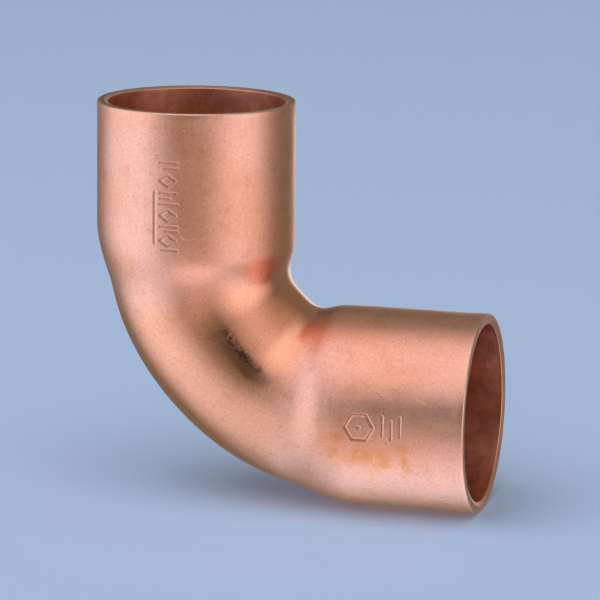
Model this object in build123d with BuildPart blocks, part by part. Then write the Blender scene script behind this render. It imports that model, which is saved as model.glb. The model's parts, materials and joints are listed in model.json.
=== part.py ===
from build123d import *
import os
from math import cos, radians, sin

# Solder elbow of 90 degrees for 5/8 in copper tube, in millimetres. It is one piece of metal: a
# length of tube is bent in a die, and both its ends are expanded into sockets.
# The bend lies in the XZ plane. The origin is the centre of the tube stop in the upper socket,
# +Z points up out of that socket, and +X points out of the side socket.

# Sockets
TUBE_OD = 15.88  # the tube that is soldered in
SOLDER_GAP = 0.10  # on the diameter
SOCKET_DEPTH = 12.7  # from the end face to the tube stop
CENTRE_TO_FACE = 27.0  # from the crossing of the socket axes to either end face
WALL = 0.95
MOUTH_BEVEL = (0.42, 0.15)  # inside each mouth: width on the end face, and depth down the socket
RIM_ROUNDING = 0.10  # outside each mouth

# Body between the sockets
BODY_OD = 15.6
BEND_RADIUS = 13.3  # of the centre line where the bend begins and ends
OUTER_FLATTENING = 0.028  # share of its radius that the outside of the bend loses at 45 degrees
INNER_FLATTENING = 0.078  # share of its radius that the inside of the bend loses at 45 degrees

# Shoulders, where a socket narrows to the body, as (depth below the end face, length). The far
# one is on the outside of the bend, where the die leaves it longer, and the near one inside it.
OUTSIDE_SHOULDERS = {"far": (11.1, 6.4), "near": (13.2, 3.7)}  # on the outer surface
PASSAGE_SHOULDERS = {"far": (SOCKET_DEPTH, 3.5), "near": (SOCKET_DEPTH, 4.0)}  # in the passage

# Sections across the body that carry its form
LEG_SECTIONS = 3  # on the stretch between each socket and the bend
BEND_STEPS = 12

SOCKET_R = (TUBE_OD + SOLDER_GAP) / 2
SOCKET_OUTER_R = SOCKET_R + WALL
BODY_R = BODY_OD / 2
SHOULDER_STEP = SOCKET_OUTER_R - BODY_R
CENTRE_TO_STOP = CENTRE_TO_FACE - SOCKET_DEPTH
LEG = CENTRE_TO_FACE - BEND_RADIUS  # from each end face to where the bend begins
BEND_CENTRE = Vector(BEND_RADIUS, 0, BEND_RADIUS - CENTRE_TO_STOP)
UPPER_FACE = Plane(origin=(0, 0, SOCKET_DEPTH), z_dir=(0, 0, -1))
SIDE_FACE = Plane(origin=(CENTRE_TO_FACE, 0, -CENTRE_TO_STOP), z_dir=(-1, 0, 0))


def swell(depth, shoulder):
    """How far a socket still stands out from the body at a depth below its end face."""
    start, length = shoulder
    passed = min(max((depth - start) / length, 0), 1)
    return SHOULDER_STEP * (1 - passed * passed * (3 - 2 * passed))


def section(angle, height, radius, shoulders):
    """Plane and half sizes of the ellipse across a body of this radius.

    The angle is about the bend centre, from the upper leg round to the side leg. The height is
    how far up its leg the section lies from where the bend begins.
    """
    turn = radians(angle)
    from_leg = radians(min(angle, 90 - angle))
    outward = Vector(-cos(turn), 0, -sin(turn))
    along_leg = Vector(0, 0, 1) if angle < 45 else Vector(1, 0, 0)
    far = BEND_RADIUS + radius
    near = BEND_RADIUS - radius
    far_swell = swell(LEG - height + far * from_leg, shoulders["far"])
    near_swell = swell(LEG - height + near * from_leg, shoulders["near"])
    flattened = sin(2 * turn) ** 2
    far = far * (1 - OUTER_FLATTENING * flattened) + far_swell
    near = near * (1 - INNER_FLATTENING * flattened) - near_swell
    centre = BEND_CENTRE + along_leg * height + outward * ((far + near) / 2)
    across = Plane(origin=centre, x_dir=outward, z_dir=outward.cross(Vector(0, 1, 0)))
    return across, (far - near) / 2, radius + (far_swell + near_swell) / 2


def stations(shoulder_depth):
    """Angle and height of each section, from one socket's shoulder round to the other's."""
    top = LEG - shoulder_depth
    heights = [top * (1 - i / LEG_SECTIONS) for i in range(LEG_SECTIONS)]
    upper_leg = [(0, height) for height in heights]
    bend = [(90 * i / BEND_STEPS, 0) for i in range(BEND_STEPS + 1)]
    side_leg = [(90, height) for height in reversed(heights)]
    return upper_leg + bend + side_leg


def make_form(body_radius, shoulders, socket_radius):
    """A solid bend with a round socket at each end, for the elbow's outside or its passage."""
    socket_length = shoulders["far"][0]
    with BuildPart() as form:
        for angle, height in stations(socket_length):
            across, half_depth, half_width = section(angle, height, body_radius, shoulders)
            with BuildSketch(across):
                with BuildLine():
                    EllipticalCenterArc((0, 0), half_depth, half_width, arc_size=180)
                    mirror(about=Plane.XZ)
                make_face()
        loft()
        for end_face in (UPPER_FACE, SIDE_FACE):
            with BuildSketch(end_face):
                Circle(socket_radius)
            extrude(amount=socket_length)
    return form.part


def make_elbow_body():
    """The outer form with the passage cut through it and both rims finished."""
    with BuildPart() as elbow_body:
        add(make_form(BODY_R, OUTSIDE_SHOULDERS, SOCKET_OUTER_R))
        add(make_form(BODY_R - WALL, PASSAGE_SHOULDERS, SOCKET_R), mode=Mode.SUBTRACT)
        for axis in (Axis.Z, Axis.X):
            end = elbow_body.faces().sort_by(axis)[-1]
            chamfer(end.inner_wires()[0].edge(), *MOUTH_BEVEL, reference=end)
            end = elbow_body.faces().sort_by(axis)[-1]
            fillet(end.outer_wire().edge(), RIM_ROUNDING)
    elbow_body.part.label = "elbow_body"
    return elbow_body.part


os.makedirs("parts", exist_ok=True)
export_step(make_elbow_body(), "parts/elbow_body.step")
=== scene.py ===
import json
import math

import bpy
import numpy as np
from mathutils import Matrix, Vector


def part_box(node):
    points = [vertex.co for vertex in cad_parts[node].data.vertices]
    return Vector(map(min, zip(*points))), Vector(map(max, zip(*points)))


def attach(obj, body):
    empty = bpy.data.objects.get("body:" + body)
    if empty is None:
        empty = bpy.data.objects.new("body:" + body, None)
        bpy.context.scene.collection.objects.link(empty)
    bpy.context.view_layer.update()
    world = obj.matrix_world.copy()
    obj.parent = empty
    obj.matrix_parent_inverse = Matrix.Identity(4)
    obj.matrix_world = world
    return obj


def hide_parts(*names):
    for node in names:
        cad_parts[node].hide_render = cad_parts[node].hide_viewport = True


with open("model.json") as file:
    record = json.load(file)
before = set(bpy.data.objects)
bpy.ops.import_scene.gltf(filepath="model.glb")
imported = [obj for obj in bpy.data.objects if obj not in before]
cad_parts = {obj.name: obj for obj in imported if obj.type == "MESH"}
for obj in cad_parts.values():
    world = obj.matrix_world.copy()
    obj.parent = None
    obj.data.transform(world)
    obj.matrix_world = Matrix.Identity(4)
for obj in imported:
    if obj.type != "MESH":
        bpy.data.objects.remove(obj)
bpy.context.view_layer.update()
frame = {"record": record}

# Copper solder elbow, in metres, in the row frame: +Z out of the upper socket, +X out of the
# side socket, and the bend in the XZ plane. The skin is one closed quad mesh that stands for
# the CAD body: outer surface, rims, sockets and passage.

MM = 0.001

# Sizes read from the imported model
MOUNTS = {mount["name"]: mount for mount in frame["record"]["mounts"]}
LOW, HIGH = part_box("elbow_body")
SOCKET_R = MOUNTS["upper_socket"]["dims"]["r_mm"] * MM
SOCKET_OUTER_R = HIGH.y
WALL = SOCKET_OUTER_R - SOCKET_R
SIDE_AXIS_Z = MOUNTS["side_socket"]["pos_m"][2]
SOCKET_DEPTH = HIGH.z
CENTRE_TO_FACE = HIGH.x
FLOOR_Z = LOW.z

# Form of the body between the sockets, as the CAD has it. A shoulder is (depth below the end
# face, length); the far one is on the outside of the bend, and the near one inside it.
BODY_R = 7.8 * MM
BEND_RADIUS = 13.3 * MM
OUTER_FLATTENING = 0.028
INNER_FLATTENING = 0.078
OUTSIDE_SHOULDERS = {"far": (11.1 * MM, 6.4 * MM), "near": (13.2 * MM, 3.7 * MM)}
PASSAGE_SHOULDERS = {"far": (SOCKET_DEPTH, 3.5 * MM), "near": (SOCKET_DEPTH, 4.0 * MM)}
SHOULDER_STEP = SOCKET_OUTER_R - BODY_R
LEG = CENTRE_TO_FACE - BEND_RADIUS
BEND_LENGTH = BEND_RADIUS * math.pi / 2
LENGTH = 2 * LEG + BEND_LENGTH
BEND_CENTRE = np.array([BEND_RADIUS, SIDE_AXIS_Z + BEND_RADIUS])

# Rims
MOUTH_BEVEL_WIDTH = 0.42 * MM
MOUTH_BEVEL_DEPTH = 0.15 * MM
RIM_ROUNDING = 0.18 * MM
RIM_UNEVENNESS = 0.10  # share of the bevel's width by which hand deburring varies it
RIM_WEAR = 0.12 * MM  # how far from an end face the outer edge is worn bright

# Stamped marks, on the -Y side of both sockets
STROKE = 0.20 * MM
STAMP_DEPTH = 0.06 * MM
BATCH_MARK_STRENGTH = 0.6  # the batch mark is struck more lightly than the size mark
STAMP_HALF_WIDTH = 1.7 * MM
BATCH_MARK_SPAN = (4.0 * MM, 12.5 * MM)  # below the upper end face
SIZE_MARK_SPAN = (4.6 * MM, 11.0 * MM)  # from the side end face
SIZE_HEXAGON = (9.4, 1.3)  # middle, from the side end face, and radius, in millimetres
SIZE_DOT = ((9.35, 0.0), (9.45, 0.0))
SIZE_BARS = [(7.3, -1.1, 0.6), (6.5, -0.7, 0.9), (5.7, -1.1, 0.6)]  # from the side end face
BATCH_RULE = ((7.0, 1.25), (11.7, 1.25))
BATCH_BARS = [  # (below the upper end face, from, to), the last two across, in millimetres
    (4.4, -0.9, 0.7),
    (4.9, -0.9, 0.3),
    (7.1, -0.8, 0.7),
    (7.6, -0.2, 0.7),
    (8.1, -0.9, 0.7),
    (10.1, -0.9, 0.7),
    (10.5, -0.9, 0.2),
    (12.2, -0.8, 0.6),
]
BATCH_DIAMONDS = [6.0, 9.1, 11.35]  # middles, below the upper end face, in millimetres

# Unevenness of the outer skin, which fades out next to the rims
RIPPLES = [(0.010 * MM, 7 * MM, 24), (0.0016 * MM, 1.6 * MM, 30)]  # depth, wavelength, waves
RIPPLE_OFFSET = 1.6  # in depths, which keeps the skin inside the CAD surface
DINGS = 26
DING_DEPTH = 0.020 * MM  # of the deepest
DING_SIZES = (0.35, 0.8)  # smallest and largest, in millimetres
DING_MARGIN = 2 * MM  # left free beside each end face
EVEN_BESIDE_RIM = 1.5 * MM

# Spacing of the mesh
FINE = 0.07 * MM
COARSE = 0.42 * MM
PASSAGE_SPACING = 0.55 * MM
SPACING_SAMPLES = 6001
ROUNDING_ROWS = 7
FACE_ROWS = [0.06, 0.5, 0.94]  # where the rows on an end face lie, as shares of its width
MOUTH_ROWS = [0.0, 0.03, 0.08, 0.13, 0.15, 0.18, 0.28, 0.45]  # depths in a mouth, in millimetres
PASSAGE_START = 0.7 * MM  # depth in a mouth where the even spacing starts

SEED = 7


def smooth(x):
    """0 below 0, 1 above 1 and a smooth step between."""
    x = np.clip(x, 0, 1)
    return x * x * (3 - 2 * x)


# ---------------------------------------------------------------- form of the elbow


def swell(depth, shoulder):
    """How far a socket still stands out from the body at a depth below its end face."""
    start, length = shoulder
    return SHOULDER_STEP * (1 - smooth((depth - start) / length))


def sections(run, radius, shoulders):
    """Centres, outward directions, half depths and half widths of the ellipses across the body.

    Run is the distance along the centre line from the upper end face.
    """
    angle = np.clip((run - LEG) / BEND_RADIUS, 0, math.pi / 2)
    upper = angle < math.pi / 4
    height = np.where(upper, LEG - run, run - LEG - BEND_LENGTH).clip(min=0)
    from_leg = np.where(upper, angle, math.pi / 2 - angle)
    outward = np.stack([-np.cos(angle), -np.sin(angle)], axis=-1)
    along_leg = np.where(upper[:, None], [0.0, 1.0], [1.0, 0.0])
    far = BEND_RADIUS + radius
    near = BEND_RADIUS - radius
    far_swell = swell(LEG - height + far * from_leg, shoulders["far"])
    near_swell = swell(LEG - height + near * from_leg, shoulders["near"])
    flattened = np.sin(2 * angle) ** 2
    far = far * (1 - OUTER_FLATTENING * flattened) + far_swell
    near = near * (1 - INNER_FLATTENING * flattened) - near_swell
    centre = BEND_CENTRE + along_leg * height[:, None] + outward * ((far + near) / 2)[:, None]
    return centre, outward, (far - near) / 2, radius + (far_swell + near_swell) / 2


def skin(run, around, radius, shoulders, inset):
    """Points of a skin of the body, one row for each run and one column for each angle around.

    The angle around is 0 on the -Y side, and positive towards the outside of the bend.
    """
    centre, outward, half_depth, half_width = sections(run, radius, shoulders)
    out = (half_depth[:, None] - inset) * np.sin(around)
    y = -(half_width[:, None] - inset) * np.cos(around)
    x = centre[:, :1] + outward[:, :1] * out
    z = centre[:, 1:] + outward[:, 1:] * out
    return np.stack([x, y, z], axis=-1)


def graded(start, end, coarse, zones, blend):
    """Positions from start to end, with a closer spacing in each zone (low, high, spacing)."""
    samples = np.linspace(start, end, SPACING_SAMPLES)
    spacing = np.full_like(samples, coarse)
    for low, high, fine in zones:
        gap = np.maximum(np.maximum(low - samples, samples - high), 0)
        spacing = np.minimum(spacing, fine + (coarse - fine) * smooth(gap / blend))
    density = (1 / spacing[1:] + 1 / spacing[:-1]) / 2
    steps = np.concatenate([[0], np.cumsum(density * np.diff(samples))])
    wanted = np.linspace(0, steps[-1], math.ceil(steps[-1]) + 1)
    return np.interp(wanted, steps, samples)


# ---------------------------------------------------------------- relief on the outer skin


def stroke(along, across, start, end):
    """Distance of each point from a straight stroke between two points, given in millimetres."""
    start, end = np.array(start) * MM, np.array(end) * MM
    line = end - start
    point = np.stack([along - start[0], across - start[1]], axis=-1)
    share = np.clip(point @ line / (line @ line), 0, 1)
    return np.linalg.norm(point - share[..., None] * line, axis=-1)


def hexagon(along, across, centre, radius):
    """Distance of each point from the outline of a hexagon, given in millimetres."""
    turns = np.arange(7) * math.pi / 3
    corners = np.stack([centre + radius * np.cos(turns), radius * np.sin(turns)], axis=-1)
    sides = zip(corners[:-1], corners[1:])
    return np.min([stroke(along, across, a, b) for a, b in sides], axis=0)


def bars(along, across, places):
    """Distances from straight bars across a mark, each given as (at, from, to)."""
    return [stroke(along, across, (at, low), (at, high)) for at, low, high in places]


def size_mark(along, across):
    """Distance from the mark on the side socket: a hexagon round a dot, and three bars."""
    round_dot = [hexagon(along, across, *SIZE_HEXAGON), stroke(along, across, *SIZE_DOT)]
    return np.min(round_dot + bars(along, across, SIZE_BARS), axis=0)


def batch_mark(along, across):
    """Distance from the mark on the upper socket: a rule beside a row of bars and diamonds."""
    lines = [stroke(along, across, *BATCH_RULE), *bars(along, across, BATCH_BARS)]
    for at in BATCH_DIAMONDS:
        corners = [(at - 0.5, 0.0), (at, 0.75), (at + 0.5, 0.0), (at, -0.75), (at - 0.5, 0.0)]
        lines.extend(stroke(along, across, a, b) for a, b in zip(corners, corners[1:]))
    return np.min(lines, axis=0)


def groove(distance):
    """Depth of a stamped stroke as a share of its full depth, with a slight lip each side."""
    floor = np.exp(-((distance / (0.55 * STROKE)) ** 4))
    lip = np.exp(-(((distance - 0.85 * STROKE) / (0.3 * STROKE)) ** 2))
    return floor, floor - 0.10 * lip


def ripple(points, wavelength, waves, seed):
    """Smooth unevenness between about -1 and 1, as a sum of waves in random directions."""
    rng = np.random.default_rng(seed)
    total = np.zeros(points.shape[:-1])
    for _ in range(waves):
        direction = rng.normal(size=3)
        length = wavelength * rng.uniform(0.7, 1.4)
        direction *= 2 * math.pi / (np.linalg.norm(direction) * length)
        total += np.sin(points @ direction + rng.uniform(0, 2 * math.pi))
    return total / math.sqrt(2 * waves)


def dings(run, across, count, seed):
    """Depth of shallow handling dings, as a share of the deepest."""
    rng = np.random.default_rng(seed)
    total = np.zeros(np.broadcast_shapes(run.shape, across.shape))
    for _ in range(count):
        at_run = rng.uniform(DING_MARGIN, LENGTH - DING_MARGIN)
        at_across = rng.uniform(-math.pi, math.pi) * BODY_R
        size = rng.uniform(*DING_SIZES) * MM
        away = ((run - at_run) ** 2 + (across - at_across) ** 2) / size**2
        total = np.maximum(total, rng.uniform(0.3, 1) * np.exp(-away))
    return total


def normals(points):
    """Outward normals of a grid of points that closes around its columns."""
    along = np.gradient(points, axis=0)
    across = np.roll(points, -1, axis=1) - np.roll(points, 1, axis=1)
    found = np.cross(across, along)
    return found / np.linalg.norm(found, axis=-1, keepdims=True)


# ---------------------------------------------------------------- marks that only colour the skin

# Painted reflected glow: an orange tint where each socket's shoulder meets the inside of the bend,
# where the copper reflects itself; and stains below the mark on the side socket, as (distance from
# the end face, across, half length, half width), in millimetres. Across is measured round the skin
# from its -Y side towards the outside of the bend.
PAINTED_GLOWS = [(15.0, -7.8, 2.2, 2.3), (17.5, -8.4, 1.6, 1.5)]
STAINS = [
    (9.4, 2.6, 3.4, 0.75),
    (11.8, 1.3, 0.9, 1.2),
    (7.3, 3.5, 0.9, 0.6),
    (5.4, 2.8, 0.5, 1.3),
]

# Painted reflection of the dark camera: a streak along the bend, as (run, across) of its ends,
# in millimetres, and how far it reaches
PAINTED_STREAK = ((21.4, -3.2), (27.7, -2.85))
PAINTED_STREAK_HALF_WIDTH = 0.45 * MM
PAINTED_STREAK_MIDDLE = 24.5 * MM
PAINTED_STREAK_HALF_LENGTH = 4.0 * MM

# The die polished the bend, from this far below an end face, and the polish comes in gradually
POLISH_START = 15.5 * MM
POLISH_FADE = 3.0 * MM


def blots(along, across, places):
    """Strength from 0 to 1 of soft blots at these places."""
    total = np.zeros(np.broadcast_shapes(along.shape, across.shape))
    for at_along, at_across, half_length, half_width in places:
        x = (along - at_along * MM) / (half_length * MM)
        y = (across - at_across * MM) / (half_width * MM)
        total = np.maximum(total, np.exp(-(x * x) - y * y))
    return total


def painted_streak(run, across):
    """Strength from 0 to 1 of the painted dark reflection streak, which tapers towards both ends.
    """
    taper = np.exp(-(((run - PAINTED_STREAK_MIDDLE) / PAINTED_STREAK_HALF_LENGTH) ** 4))
    away = stroke(run, across, *PAINTED_STREAK) / (PAINTED_STREAK_HALF_WIDTH * (0.35 + 0.65 * taper))
    return taper * np.exp(-(away**2))


# ---------------------------------------------------------------- mesh


def mouth_inset(depth, around):
    """How far the bevel of a mouth opens the bore at each depth, as a negative inset."""
    waves = 0.5 * np.sin(3 * around + 1.0) + 0.3 * np.sin(7 * around + 2.2)
    width = MOUTH_BEVEL_WIDTH * (1 + RIM_UNEVENNESS * (waves - 0.8))
    return -width * (1 - np.minimum(depth / MOUTH_BEVEL_DEPTH, 1))[:, None]


def outer_skin(around):
    """Points of the outer skin with its rounded rims, and what each is for the material."""
    turn = np.linspace(math.pi / 2, 0, ROUNDING_ROWS)
    rim_depth = RIM_ROUNDING * (1 - np.sin(turn))
    rim_inset = RIM_ROUNDING * (1 - np.cos(turn))
    zones = [
        (*BATCH_MARK_SPAN, FINE),
        (LENGTH - SIZE_MARK_SPAN[1], LENGTH - SIZE_MARK_SPAN[0], FINE),
    ]
    middle = graded(RIM_ROUNDING, LENGTH - RIM_ROUNDING, COARSE, zones, blend=1.0 * MM)[1:-1]
    run = np.concatenate([rim_depth, middle, LENGTH - rim_depth[::-1]])
    inset = np.concatenate([rim_inset, np.zeros_like(middle), rim_inset[::-1]])
    points = skin(run, around, BODY_R, OUTSIDE_SHOULDERS, inset[:, None])

    run = run[:, None]
    from_face = np.minimum(run, LENGTH - run)
    across = around[None, :] * SOCKET_OUTER_R
    batch_floor, batch_depth = groove(batch_mark(run + 0 * across, across + 0 * run))
    size_floor, size_depth = groove(size_mark(LENGTH - run + 0 * across, across + 0 * run))
    floor = BATCH_MARK_STRENGTH * batch_floor + size_floor
    depth = BATCH_MARK_STRENGTH * batch_depth + size_depth
    uneven = 0
    for number, (deep, wavelength, waves) in enumerate(RIPPLES):
        uneven += deep * (RIPPLE_OFFSET + ripple(points, wavelength, waves, SEED + number))
    uneven += DING_DEPTH * dings(run, across, DINGS, SEED + len(RIPPLES))
    away_from_rim = smooth((from_face - RIM_ROUNDING) / EVEN_BESIDE_RIM)
    down = STAMP_DEPTH * depth + uneven * away_from_rim
    points = points - normals(points) * down[..., None]

    in_bend = smooth((from_face - POLISH_START) / POLISH_FADE)
    facts = {
        "groove": floor,
        "rim": np.exp(-from_face / RIM_WEAR) + 0 * across,
        "face": np.zeros(points.shape[:2]),
        "polish": in_bend + 0 * across,
        # where the reflected glow is painted
        "heat": blots(from_face, across, PAINTED_GLOWS),
        "stain": blots(LENGTH - run, across, STAINS),
        # where the dark reflection is painted
        "painted_streak": painted_streak(run + 0 * across, across + 0 * run),
        "inside": np.zeros(points.shape[:2]),
    }
    return run, points, facts


def passage_skin(around):
    """Points of the sockets' bores and the passage, with the bevelled mouths."""
    mouth = np.array(MOUTH_ROWS) * MM
    middle = graded(PASSAGE_START, LENGTH - PASSAGE_START, PASSAGE_SPACING, [], blend=1.0)
    run = np.concatenate([mouth, middle, LENGTH - mouth[::-1]])
    from_face = np.minimum(run, LENGTH - run)
    points = skin(run, around, BODY_R - WALL, PASSAGE_SHOULDERS, mouth_inset(from_face, around))
    run = run[:, None]
    from_face = from_face[:, None]
    none = np.zeros(points.shape[:2])
    facts = dict.fromkeys(["groove", "face", "polish", "heat", "stain", "painted_streak"], none)
    facts["rim"] = np.where(from_face < 1.1 * MOUTH_BEVEL_DEPTH, 0.7, 0.0) + none
    facts["inside"] = smooth((from_face - MOUTH_BEVEL_DEPTH) / (0.5 * MM)) + none
    return run, points, facts


def smooth_mesh(name, points, quads):
    """A mesh of quads with smooth shading."""
    mesh = bpy.data.meshes.new(name)
    mesh.from_pydata(points.reshape(-1, 3).tolist(), [], quads.tolist())
    mesh.polygons.foreach_set("use_smooth", np.ones(len(quads), dtype=bool))
    return mesh


def closed_quads(rows, columns):
    """Corners of the quads of a grid of points that closes both ways."""
    index = np.arange(rows * columns).reshape(rows, columns)
    next_row, next_column = np.roll(index, -1, axis=0), np.roll(index, -1, axis=1)
    corners = [index, next_row, np.roll(next_row, -1, axis=1), next_column]
    return np.stack(corners, axis=-1).reshape(-1, 4)


def store(mesh, name, kind, field, values):
    """Keeps one value per point on the mesh, for the material to read."""
    layer = mesh.attributes.new(name, kind, "POINT")
    layer.data.foreach_set(field, values.ravel().astype(np.float32))


def elbow_mesh():
    """The closed skin: outer rows to the side end face, back through the passage, and closed."""
    half = STAMP_HALF_WIDTH / SOCKET_OUTER_R
    zones = [(-half, half, FINE / SOCKET_OUTER_R)]
    around = graded(-math.pi, math.pi, COARSE / BODY_R, zones, blend=0.25)[:-1]
    outer_run, outer, outer_facts = outer_skin(around)
    inner_run, inner, inner_facts = passage_skin(around)
    inner_run, inner = inner_run[::-1], inner[::-1]

    shares = np.array(FACE_ROWS)[:, None, None]
    side_face = outer[-1:] * (1 - shares) + inner[:1] * shares
    upper_face = inner[-1:] * (1 - shares) + outer[:1] * shares
    face_run = np.zeros((len(FACE_ROWS), 1))
    points = np.concatenate([outer, side_face, inner, upper_face])
    run = np.concatenate([outer_run, LENGTH + face_run, inner_run, face_run]) + 0 * around
    facts = {}
    for name, of_outer in outer_facts.items():
        on_face = np.full(side_face.shape[:2], float(name == "face"))
        facts[name] = np.concatenate([of_outer, on_face, inner_facts[name][::-1], on_face])

    mesh = smooth_mesh("elbow_skin", points, closed_quads(*points.shape[:2]))
    for name, values in facts.items():
        store(mesh, name, "FLOAT", "value", values)
    # where each point would be if the tube were straight, for patterns that run along it
    straight = [SOCKET_R * np.sin(around) + 0 * run, SOCKET_R * np.cos(around) + 0 * run, run]
    store(mesh, "straight", "FLOAT_VECTOR", "vector", np.stack(straight, axis=-1))
    mesh.validate()
    mesh.update()
    return mesh


# ---------------------------------------------------------------- copper

PINK_COPPER = (0.98, 0.58, 0.48, 1)
ORANGE_COPPER = (0.98, 0.52, 0.37, 1)
BROWN_OXIDE = (0.62, 0.27, 0.17, 1)
# painted reflected glow: the orange of copper reflecting copper in the crease of the bend
PAINTED_GLOW_TINT = (0.98, 0.66, 0.30, 1)
STAIN_TINT = (0.88, 0.40, 0.16, 1)
# darker colour given to the floors of the stamped grooves
GROOVE_DARK = (0.40, 0.17, 0.11, 1)
BORE_OXIDE = (0.88, 0.44, 0.32, 1)
BORE_DARK = (0.64, 0.30, 0.21, 1)
# near-black painted reflection of the camera, along the bend
PAINTED_STREAK_COLOUR = (0.10, 0.06, 0.045, 1)
BARE_EDGE = (0.98, 0.70, 0.60, 1)
SAWN_FACE = (0.45, 0.32, 0.27, 1)

# Sizes of the patterns in the copper
CLOUD = 7.0 * MM
MOTTLE = 1.7 * MM
SPECK = 0.35 * MM
GRAIN = 0.20 * MM
DRAWN_LINE = 0.30 * MM
PIT = 0.5 * MM
DULL_PATCH = 5.0 * MM
SCRATCH_CURVE = 6.0 * MM
SCRATCH_GAP = 3.5 * MM
SOFT_HAMMERING = 0.9 * MM
BUMP_HEIGHT = 0.005 * MM


class Nodes:
    """Adds and links shader nodes, so that a material reads as a list of steps."""

    def __init__(self, tree):
        self.tree = tree

    def add(self, kind, settings=(), inputs=()):
        made = self.tree.nodes.new(kind)
        for name, value in dict(settings).items():
            setattr(made, name, value)
        for name, value in dict(inputs).items():
            self.feed(made.inputs[name], value)
        return made

    def feed(self, socket, value):
        if isinstance(value, bpy.types.NodeSocket):
            self.tree.links.new(value, socket)
        else:
            socket.default_value = value

    def attribute(self, name, output="Fac"):
        return self.add("ShaderNodeAttribute", {"attribute_name": name}).outputs[output]

    def stretched(self, vector, scale):
        inputs = {0: vector, 1: scale}
        return self.add("ShaderNodeVectorMath", {"operation": "MULTIPLY"}, inputs).outputs[0]

    def noise(self, vector, size, detail=2.0, roughness=0.5):
        """Noise whose features are about this many metres across."""
        inputs = {"Vector": vector, "Scale": 1 / size, "Detail": detail, "Roughness": roughness}
        return self.add("ShaderNodeTexNoise", (), inputs).outputs["Fac"]

    def fade(self, value, low, high, to_low=0.0, to_high=1.0):
        """Smooth step of a value between low and high, to another range."""
        settings = {"interpolation_type": "SMOOTHSTEP"}
        inputs = {0: value, 1: low, 2: high, 3: to_low, 4: to_high}
        return self.add("ShaderNodeMapRange", settings, inputs).outputs[0]

    def maths(self, operation, a, b):
        return self.add("ShaderNodeMath", {"operation": operation}, {0: a, 1: b}).outputs[0]

    def mix(self, share, a, b, blend="MIX"):
        settings = {"data_type": "RGBA", "blend_type": blend}
        return self.add("ShaderNodeMix", settings, {0: share, 6: a, 7: b}).outputs[2]


def fine_scratches(n, place):
    """1 along a few hair-thin curved scratches, and 0 elsewhere."""
    off_line = n.maths("ABSOLUTE", n.maths("SUBTRACT", n.noise(place, SCRATCH_CURVE, 0), 0.5), 0.0)
    sparse = n.fade(n.noise(place, SCRATCH_GAP, 1), 0.55, 0.60)
    return n.maths("MULTIPLY", n.fade(off_line, 0.002, 0.006, 1.0, 0.0), sparse)


def copper_colour(n, place, tube, grain, scratches):
    """Base colour: copper, oxide, stains, painted glow and dark reflection, darker grooves and
    edges.
    """
    clouds = n.noise(place, CLOUD, 3)
    mottle = n.noise(place, MOTTLE, 4, 0.6)
    speck = n.noise(tube, SPECK, 2)
    warm = n.maths("MAXIMUM", n.fade(clouds, 0.38, 0.62, 0, 0.7), n.attribute("polish"))
    colour = n.mix(warm, PINK_COPPER, ORANGE_COPPER)
    colour = n.mix(n.fade(mottle, 0.50, 0.80, 0, 0.35), colour, BROWN_OXIDE)
    colour = n.mix(n.fade(speck, 0.62, 0.72, 0, 0.30), colour, BROWN_OXIDE)
    patchy = n.fade(mottle, 0.30, 0.60, 0.30, 0.70)
    # painted reflected glow in the crease of the bend, broken up by the mottle
    colour = n.mix(n.maths("MULTIPLY", n.attribute("heat"), patchy), colour, PAINTED_GLOW_TINT)
    stained = n.maths("MULTIPLY", n.attribute("stain"), n.fade(mottle, 0.36, 0.58, 0.15, 0.95))
    colour = n.mix(stained, colour, STAIN_TINT)
    # the floors of the stamped grooves are made darker
    colour = n.mix(n.maths("MULTIPLY", n.attribute("groove"), 0.65), colour, GROOVE_DARK)
    colour = n.mix(n.maths("MULTIPLY", scratches, 0.35), colour, BARE_EDGE)
    # painted dark reflection along the bend, broken into specks
    streaked = n.maths("MULTIPLY", n.attribute("painted_streak"), n.fade(speck, 0.44, 0.60, 0.85, 0.20))
    colour = n.mix(streaked, colour, PAINTED_STREAK_COLOUR)
    bore = n.mix(n.fade(mottle, 0.35, 0.65), BORE_OXIDE, BORE_DARK)
    colour = n.mix(n.attribute("inside"), colour, bore)
    worn = n.maths("MULTIPLY", n.attribute("rim"), n.fade(mottle, 0.30, 0.55, 0.4, 0.9))
    colour = n.mix(worn, colour, BARE_EDGE)
    colour = n.mix(n.maths("MULTIPLY", n.attribute("face"), 0.8), colour, SAWN_FACE)
    shade = n.mix(n.fade(grain, 0.25, 0.75), (0.89, 0.87, 0.85, 1), (1.06, 1.06, 1.06, 1))
    return n.mix(1.0, colour, shade, "MULTIPLY")


def copper_roughness(n, place, drawn, scratches):
    """Satin, smoother where the die polished the bend, and duller in bores, marks and scratches."""
    rough = n.fade(n.noise(place, DULL_PATCH, 3), 0.35, 0.65, 0.28, 0.35)
    rough = n.maths("ADD", rough, n.fade(drawn, 0.40, 0.70, 0.0, 0.04))
    rough = n.maths("SUBTRACT", rough, n.maths("MULTIPLY", n.attribute("polish"), 0.17))
    rough = n.maths("ADD", rough, n.maths("MULTIPLY", n.attribute("inside"), 0.12))
    rough = n.maths("ADD", rough, n.maths("MULTIPLY", n.attribute("rim"), 0.06))
    rough = n.maths("ADD", rough, n.maths("MULTIPLY", n.attribute("heat"), 0.14))
    rough = n.maths("ADD", rough, n.maths("MULTIPLY", scratches, 0.12))
    return n.maths("ADD", rough, n.maths("MULTIPLY", n.attribute("groove"), 0.12))


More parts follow.
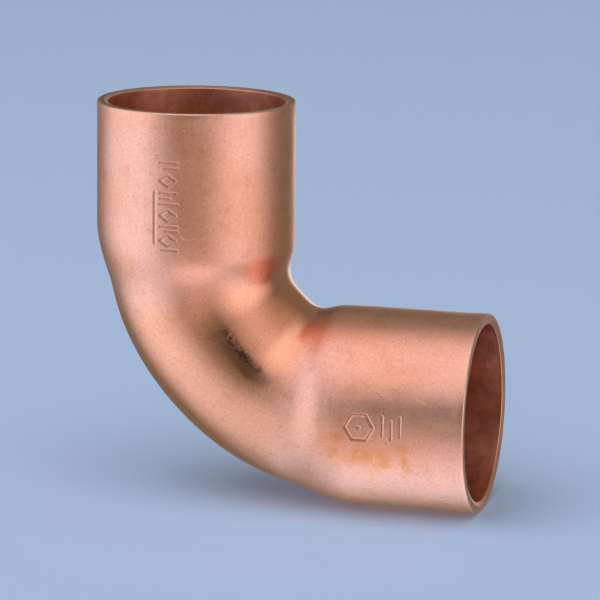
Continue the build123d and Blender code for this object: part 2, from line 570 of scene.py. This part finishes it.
def copper_bump(n, place, tube, grain, drawn):
    """Fine grain, drawn lines along the tube, scattered pits and soft hammering."""
    pits = n.fade(n.noise(tube, PIT, 1), 0.70, 0.80)
    height = n.maths("ADD", grain, n.maths("MULTIPLY", drawn, 0.5))
    height = n.maths("SUBTRACT", height, n.maths("MULTIPLY", pits, 1.5))
    height = n.maths("ADD", height, n.maths("MULTIPLY", n.noise(place, SOFT_HAMMERING, 2), 1.2))
    bump = n.add("ShaderNodeBump", (), {"Strength": 1.0, "Distance": BUMP_HEIGHT})
    n.feed(bump.inputs["Height"], height)
    return bump.outputs["Normal"]


def satin_copper():
    material = bpy.data.materials.new("satin_copper")
    material.use_nodes = True
    n = Nodes(material.node_tree)
    shader = material.node_tree.nodes["Principled BSDF"]
    place = n.add("ShaderNodeTexCoord").outputs["Object"]
    tube = n.attribute("straight", "Vector")
    grain = n.noise(tube, GRAIN, 2, 0.6)
    drawn = n.noise(n.stretched(tube, (1.0, 1.0, 0.05)), DRAWN_LINE, 3, 0.6)
    n.feed(shader.inputs["Metallic"], 1.0)
    scratches = fine_scratches(n, place)
    n.feed(shader.inputs["Base Color"], copper_colour(n, place, tube, grain, scratches))
    n.feed(shader.inputs["Roughness"], copper_roughness(n, place, drawn, scratches))
    n.feed(shader.inputs["Normal"], copper_bump(n, place, tube, grain, drawn))
    return material


# ---------------------------------------------------------------- the piece


def make_elbow():
    elbow = bpy.data.objects.new("copper_elbow", elbow_mesh())
    bpy.context.scene.collection.objects.link(elbow)
    elbow.data.materials.append(satin_copper())
    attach(elbow, "root")
    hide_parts("elbow_body")
    return elbow


# ---------------------------------------------------------------- camera

CAMERA_AZIMUTH = math.radians(14.81)
CAMERA_ELEVATION = math.radians(11.24)
CAMERA_ROLL = math.radians(0.65)
CAMERA_DISTANCE = 365 * MM
CAMERA_LENS = 243.3
AIM = Vector((9.80 * MM, 0.0, -5.05 * MM))


def direction(azimuth, elevation):
    """Unit vector at this azimuth, from -Y towards +X, and elevation, in radians."""
    flat = math.cos(elevation)
    return Vector((math.sin(azimuth) * flat, -math.cos(azimuth) * flat, math.sin(elevation)))


def make_camera():
    back = direction(CAMERA_AZIMUTH, CAMERA_ELEVATION)
    level = Vector((math.cos(CAMERA_AZIMUTH), math.sin(CAMERA_AZIMUTH), 0))
    upright = back.cross(level)
    right = level * math.cos(CAMERA_ROLL) + upright * math.sin(CAMERA_ROLL)
    data = bpy.data.cameras.new("camera")
    data.sensor_width = 36
    data.lens = CAMERA_LENS
    data.clip_start = 0.01
    data.clip_end = 10
    camera = bpy.data.objects.new("camera", data)
    turn = Matrix((right, back.cross(right), back)).transposed()
    camera.matrix_world = Matrix.Translation(AIM + back * CAMERA_DISTANCE) @ turn.to_4x4()
    bpy.context.scene.collection.objects.link(camera)
    bpy.context.scene.camera = camera


# ---------------------------------------------------------------- stage

FLOOR_COLOUR = (0.50, 0.71, 0.98, 1)
FLOOR_RADIUS = 0.7
FLOOR_MIDDLE = (1e-6, 0.1)  # radii of the two rings that the flat middle starts with
FLOOR_SPOKES = 96
COVE_RADIUS = 1.2
COVE_HEIGHT = 0.6
COVE_ROWS = 13

# Soft lights all round the object, as seen from it: degrees to the right of the camera, degrees
# up, degrees from its middle to where it starts to fade and to where it ends, and radiance
SOFT_LIGHTS = {
    "left": (-82, -5, 18, 64, (0.87, 0.88, 0.99)),
    "right": (55, 0, 8, 53, (0.91, 0.78, 0.79)),
    "right_glow": (88, 0, 4, 20, (0.10, 0.03, 0.0)),
    "overhead_left": (-35, 60, 15, 60, (0.58, 0.50, 0.55)),
    "overhead_right": (27, 70, 25, 62, (0.30, 0.22, 0.17)),
    "below": (20, -85, 5, 58, (0.82, 0.90, 1.06)),
    "below_front": (0, -45, 5, 52, (0.69, 0.52, 0.50)),
    "behind": (168, -6, 8, 19, (0.78, 0.78, 0.86)),
}
ROOM_COLOUR = (0.22, 0.185, 0.135, 1)
SHADES = {  # dark places, given the same way, with the share of the light that they hide
    "camera_lens": (-4, 13, 1, 10, 0.52),
    "camera_body": (-17, 14, 9, 15, 0.60),
    "gap_behind": (-168, 23, 4, 15, 0.65),
}

# Degrees to the right of the camera, degrees up, distance, size and radiance
KEY_LIGHT = (-25, 62, 0.55, 0.70, 0.80)
KEY_COLOUR = (0.92, 1.0, 1.14)


def seen_from_object(azimuth, elevation):
    """Direction at so many degrees right of the camera and up, as seen from the object."""
    return direction(CAMERA_AZIMUTH + math.radians(azimuth), math.radians(elevation))


def spot(n, ray, azimuth, elevation, inner, outer):
    """1 within the inner angle of this direction, and fading to 0 at the outer angle."""
    towards = {0: ray, 1: seen_from_object(azimuth, elevation)}
    facing = n.add("ShaderNodeVectorMath", {"operation": "DOT_PRODUCT"}, towards).outputs["Value"]
    return n.fade(n.maths("ARCCOSINE", facing, 0.0), math.radians(outer), math.radians(inner))


def make_studio_light():
    """Soft lights and a dim room, as the world's colour by direction."""
    world = bpy.data.worlds.new("studio")
    world.use_nodes = True
    n = Nodes(world.node_tree)
    ray = n.add("ShaderNodeTexCoord").outputs["Generated"]
    light = ROOM_COLOUR
    for *where, colour in SOFT_LIGHTS.values():
        light = n.mix(spot(n, ray, *where), light, (*colour, 1), "ADD")
    for *where, share in SHADES.values():
        light = n.mix(n.maths("MULTIPLY", spot(n, ray, *where), share), light, (0, 0, 0, 1))
    n.feed(world.node_tree.nodes["Background"].inputs["Color"], light)
    bpy.context.scene.world = world


def make_key_light():
    """A softbox that draws the shadow on the floor."""
    azimuth, elevation, distance, size, radiance = KEY_LIGHT
    data = bpy.data.lights.new("key", "AREA")
    data.shape = "DISK"
    data.size = size
    data.color = KEY_COLOUR
    data.energy = radiance * math.pi**2 * size**2 / 4  # radiance times pi times its area
    key = bpy.data.objects.new("key", data)
    back = seen_from_object(azimuth, elevation)
    key.location = AIM + back * distance
    key.rotation_mode = "QUATERNION"
    key.rotation_quaternion = back.to_track_quat("Z", "Y")
    key.visible_camera = False
    key.visible_glossy = False
    bpy.context.scene.collection.objects.link(key)


def plain_material(name, colour):
    material = bpy.data.materials.new(name)
    material.use_nodes = True
    shader = material.node_tree.nodes["Principled BSDF"]
    shader.inputs["Base Color"].default_value = colour
    shader.inputs["Roughness"].default_value = 0.9
    shader.inputs["Specular IOR Level"].default_value = 0.1
    return material


def make_floor():
    """A flat pale floor that rises into a cove, lit by the lights but not seen in the copper."""
    turn = np.linspace(0, math.pi / 2, COVE_ROWS)
    radii = FLOOR_RADIUS + (COVE_RADIUS - FLOOR_RADIUS) * np.sin(turn)
    heights = FLOOR_Z + COVE_HEIGHT * (1 - np.cos(turn))
    flat = [(radius, FLOOR_Z) for radius in FLOOR_MIDDLE]
    profile = np.array([*flat, *zip(radii, heights)])
    turns = 2 * math.pi * np.arange(FLOOR_SPOKES) / FLOOR_SPOKES
    ring = np.stack([np.cos(turns), np.sin(turns)], axis=-1)
    points = np.empty((len(profile), len(turns), 3))
    points[..., :2] = profile[:, 0][:, None, None] * ring + np.array([AIM.x, AIM.y])
    points[..., 2] = profile[:, 1][:, None]
    index = np.arange(len(profile) * len(turns)).reshape(len(profile), -1)
    turned = np.roll(index, -1, axis=1)
    quads = np.stack([index[:-1], turned[:-1], turned[1:], index[1:]], axis=-1).reshape(-1, 4)
    mesh = smooth_mesh("floor", points, quads)
    mesh.materials.append(plain_material("pale_floor", FLOOR_COLOUR))
    floor = bpy.data.objects.new("floor", mesh)
    floor.visible_glossy = False
    bpy.context.scene.collection.objects.link(floor)


make_elbow()
make_floor()
make_studio_light()
make_key_light()
make_camera()
bpy.context.scene.view_settings.view_transform = "Standard"
